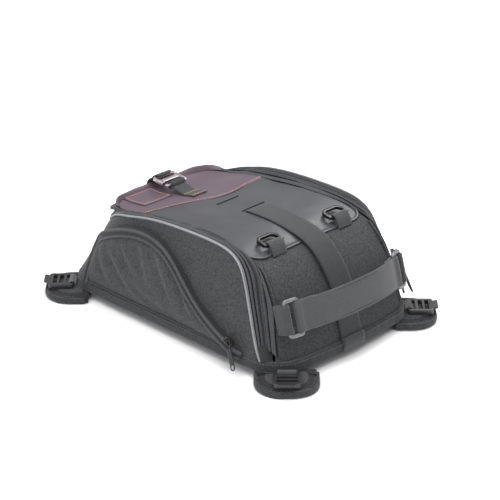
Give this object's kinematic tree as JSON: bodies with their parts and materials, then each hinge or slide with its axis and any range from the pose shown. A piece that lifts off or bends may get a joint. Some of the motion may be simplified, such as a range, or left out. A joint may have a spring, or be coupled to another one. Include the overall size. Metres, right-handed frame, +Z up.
{
  "type": "motorcycle tail bag",
  "caption": "Soft wedge-shaped tail bag with a zipped lid, domed side pockets, rear carrying handle, hooked front closure and padded corner wings with strap buckles.",
  "frame": {"origin": "on the surface the bag stands on, below the middle of its overall box", "axes": "+Z up, +X across the bag, +Y along it from the carrying handle towards the leather patch"},
  "size_m": [0.3438, 0.4846, 0.1589],
  "materials": {
    "shell_fabric": "woven charcoal polyester, fine matt canvas weave",
    "base_fabric": "matt non-slip coated fabric",
    "coated_skin": "smooth semi-gloss dark grey coated fabric",
    "leather": "smooth purplish brown leather with tan stitching",
    "webbing": "ribbed polyester webbing",
    "binding": "woven binding tape, topstitched",
    "zip_tape": "woven zip tape with a nylon coil",
    "piping": "silver reflective piping",
    "foam": "closed-cell foam sheet",
    "board": "stiff plastic sheet",
    "hook_metal": "satin anodised",
    "ring_metal": "satin dark grey",
    "ring_plastic": "glossy black",
    "buckle_plastic": "semi-gloss black acetal",
    "slider_metal": "black enamelled",
    "puller": "moulded black rubber on tape"
  },
  "bodies": {
    "root": {"side_wall_left": "shell_fabric", "side_wall_right": "shell_fabric", "zip_band_left": "zip_tape", "zip_band_right": "zip_tape", "front_wall": "shell_fabric", "front_zip_tape": "zip_tape", "rear_lower_wall": "shell_fabric", "hem_binding": "binding", "strap_hem_tab": "webbing", "underside_pad": "base_fabric", "base_board": "board", "wall_foams": "foam", "piping_left": "piping", "piping_right": "piping", "wing_roots": "shell_fabric"},
    "lid": {"top_panel": "coated_skin", "lid_front_lip": "coated_skin", "rear_panel": "shell_fabric", "lid_zip_tape_left": "zip_tape", "lid_zip_tape_right": "zip_tape", "lid_stiffener": "foam", "leather_patch": "leather", "label_patch": "leather", "top_strap": "webbing", "receiver_tape": "webbing", "closure_strap": "webbing", "d_ring_loop_left": "webbing", "d_ring_loop_right": "webbing", "handle_anchor_left": "webbing", "handle_anchor_right": "webbing"},
    "hook": {"g_hook": "hook_metal", "hook_strap_loop": "webbing"},
    "grip": {"handle_grip": "webbing"},
    "upper_zip_slider": {"upper_slider": "slider_metal"},
    "upper_zip_puller": {"upper_puller": "puller"},
    "lower_zip_slider": {"lower_slider": "slider_metal"},
    "lower_zip_puller": {"lower_puller": "puller"},
    "d_ring_left": {"d_ring_left": "ring_plastic"},
    "d_ring_right": {"d_ring_right": "ring_plastic"},
    "handle_ring_left": {"handle_ring_left": "ring_metal"},
    "handle_ring_right": {"handle_ring_right": "ring_metal"},
    "pocket_left": {"pocket_cover_left": "shell_fabric"},
    "pocket_zip_slider_left": {"pocket_slider_left": "slider_metal"},
    "pocket_zip_puller_left": {"pocket_puller_left": "puller"},
    "pocket_right": {"pocket_cover_right": "shell_fabric"},
    "pocket_zip_slider_right": {"pocket_slider_right": "slider_metal"},
    "pocket_zip_puller_right": {"pocket_puller_right": "puller"},
    "wing_rear_left": {"wing_rear_left": "shell_fabric", "wing_tab_rear_left": "webbing"},
    "ladderlock_rear_left": {"ladderlock_rear_left": "buckle_plastic"},
    "wing_rear_right": {"wing_rear_right": "shell_fabric", "wing_tab_rear_right": "webbing"},
    "ladderlock_rear_right": {"ladderlock_rear_right": "buckle_plastic"},
    "wing_front_left": {"wing_front_left": "shell_fabric", "wing_tab_front_left": "webbing"},
    "ladderlock_front_left": {"ladderlock_front_left": "buckle_plastic"},
    "wing_front_right": {"wing_front_right": "shell_fabric", "wing_tab_front_right": "webbing"},
    "ladderlock_front_right": {"ladderlock_front_right": "buckle_plastic"}
  },
  "joints": [
    {"name": "lid_hinge", "type": "hinge", "parent": "root", "child": "lid", "pos_m": [0, -0.206, 0.03], "axis": [1, 0, 0], "range_deg": [0, 70]},
    {"name": "hook_tilt", "type": "hinge", "parent": "lid", "child": "hook", "pos_m": [-0.004, 0.114, 0.1432], "axis": [1, 0, 0], "range_deg": [0, 30]},
    {"name": "handle_pull", "type": "slide", "parent": "lid", "child": "grip", "axis": [0, -0.9563, 0.2924], "range_m": [-0.003, 0.004]},
    {"name": "d_ring_left_swing", "type": "hinge", "parent": "lid", "child": "d_ring_left", "pos_m": [-0.06, -0.124, 0.1505], "axis": [1, 0, 0], "range_deg": [0, 100]},
    {"name": "d_ring_right_swing", "type": "hinge", "parent": "lid", "child": "d_ring_right", "pos_m": [0.06, -0.124, 0.1505], "axis": [1, 0, 0], "range_deg": [0, 100]},
    {"name": "handle_ring_left_swing", "type": "hinge", "parent": "lid", "child": "handle_ring_left", "pos_m": [-0.106, -0.19217, 0.08319], "axis": [0, -0.2924, -0.9563], "range_deg": [-13, 16]},
    {"name": "handle_ring_right_swing", "type": "hinge", "parent": "lid", "child": "handle_ring_right", "pos_m": [0.106, -0.19217, 0.08319], "axis": [0, 0.2924, 0.9563], "range_deg": [-13, 16]},
    {"name": "upper_zip_travel", "type": "slide", "parent": "root", "child": "upper_zip_slider", "axis": [-0.0526, 0.2869, 0.9565], "range_m": [0, 0.02]},
    {"name": "upper_puller_swing", "type": "hinge", "parent": "upper_zip_slider", "child": "upper_zip_puller", "pos_m": [0.117, -0.1725, 0.094], "axis": [-0.5231, -0.7679, 0.3697], "range_deg": [0, 45]},
    {"name": "lower_zip_travel", "type": "slide", "parent": "root", "child": "lower_zip_slider", "axis": [0.0526, -0.2869, -0.9565], "range_m": [0, 0.014]},
    {"name": "lower_puller_swing", "type": "hinge", "parent": "lower_zip_slider", "child": "lower_zip_puller", "pos_m": [0.1205, -0.176, 0.073], "axis": [-0.527, -0.8286, 0.189], "range_deg": [0, 10]},
    {"name": "pocket_left_hinge", "type": "hinge", "parent": "root", "child": "pocket_left", "pos_m": [-0.1322, 0, 0.026], "axis": [0, -1, 0], "range_deg": [0, 17]},
    {"name": "pocket_zip_left_travel", "type": "slide", "parent": "pocket_left", "child": "pocket_zip_slider_left", "axis": [0, 0.9029, 0.4299], "range_m": [0, 0.038]},
    {"name": "pocket_puller_left_swing", "type": "hinge", "parent": "pocket_zip_slider_left", "child": "pocket_zip_puller_left", "pos_m": [-0.1425, -0.124, 0.041], "axis": [0, 0.7682, -0.6402], "range_deg": [0, 45]},
    {"name": "pocket_right_hinge", "type": "hinge", "parent": "root", "child": "pocket_right", "pos_m": [0.1322, 0, 0.026], "axis": [0, 1, 0], "range_deg": [0, 17]},
    {"name": "pocket_zip_right_travel", "type": "slide", "parent": "pocket_right", "child": "pocket_zip_slider_right", "axis": [0, 0.9029, 0.4299], "range_m": [0, 0.038]},
    {"name": "pocket_puller_right_swing", "type": "hinge", "parent": "pocket_zip_slider_right", "child": "pocket_zip_puller_right", "pos_m": [0.1425, -0.124, 0.041], "axis": [0, -0.824, 0.5665], "range_deg": [0, 45]},
    {"name": "wing_rear_left_fold", "type": "hinge", "parent": "root", "child": "wing_rear_left", "pos_m": [-0.11061, -0.19658, 0.014], "axis": [0.7071, -0.7071, 0], "range_deg": [-28, 0]},
    {"name": "ladderlock_rear_left_tilt", "type": "hinge", "parent": "wing_rear_left", "child": "ladderlock_rear_left", "pos_m": [-0.11584, -0.20181, 0.0159], "axis": [-0.7071, 0.7071, 0], "range_deg": [0, 45]},
    {"name": "wing_rear_right_fold", "type": "hinge", "parent": "root", "child": "wing_rear_right", "pos_m": [0.12616, -0.18102, 0.014], "axis": [0.7071, 0.7071, 0], "range_deg": [-28, 0]},
    {"name": "ladderlock_rear_right_tilt", "type": "hinge", "parent": "wing_rear_right", "child": "ladderlock_rear_right", "pos_m": [0.1314, -0.18625, 0.0159], "axis": [-0.7071, -0.7071, 0], "range_deg": [0, 45]},
    {"name": "wing_front_left_fold", "type": "hinge", "parent": "root", "child": "wing_front_left", "pos_m": [-0.12616, 0.18102, 0.014], "axis": [-0.7071, -0.7071, 0], "range_deg": [-28, 0]},
    {"name": "ladderlock_front_left_tilt", "type": "hinge", "parent": "wing_front_left", "child": "ladderlock_front_left", "pos_m": [-0.1314, 0.18625, 0.0159], "axis": [0.7071, 0.7071, 0], "range_deg": [0, 45]},
    {"name": "wing_front_right_fold", "type": "hinge", "parent": "root", "child": "wing_front_right", "pos_m": [0.11061, 0.19658, 0.014], "axis": [-0.7071, 0.7071, 0], "range_deg": [-28, 0]},
    {"name": "ladderlock_front_right_tilt", "type": "hinge", "parent": "wing_front_right", "child": "ladderlock_front_right", "pos_m": [0.11584, 0.20181, 0.0159], "axis": [0.7071, -0.7071, 0], "range_deg": [0, 45]}
  ],
  "couplings": [
    {"joint": "handle_ring_left_swing", "follows": "handle_pull", "rad_per_m": 60.5},
    {"joint": "handle_ring_right_swing", "follows": "handle_pull", "rad_per_m": 60.5}
  ]
}
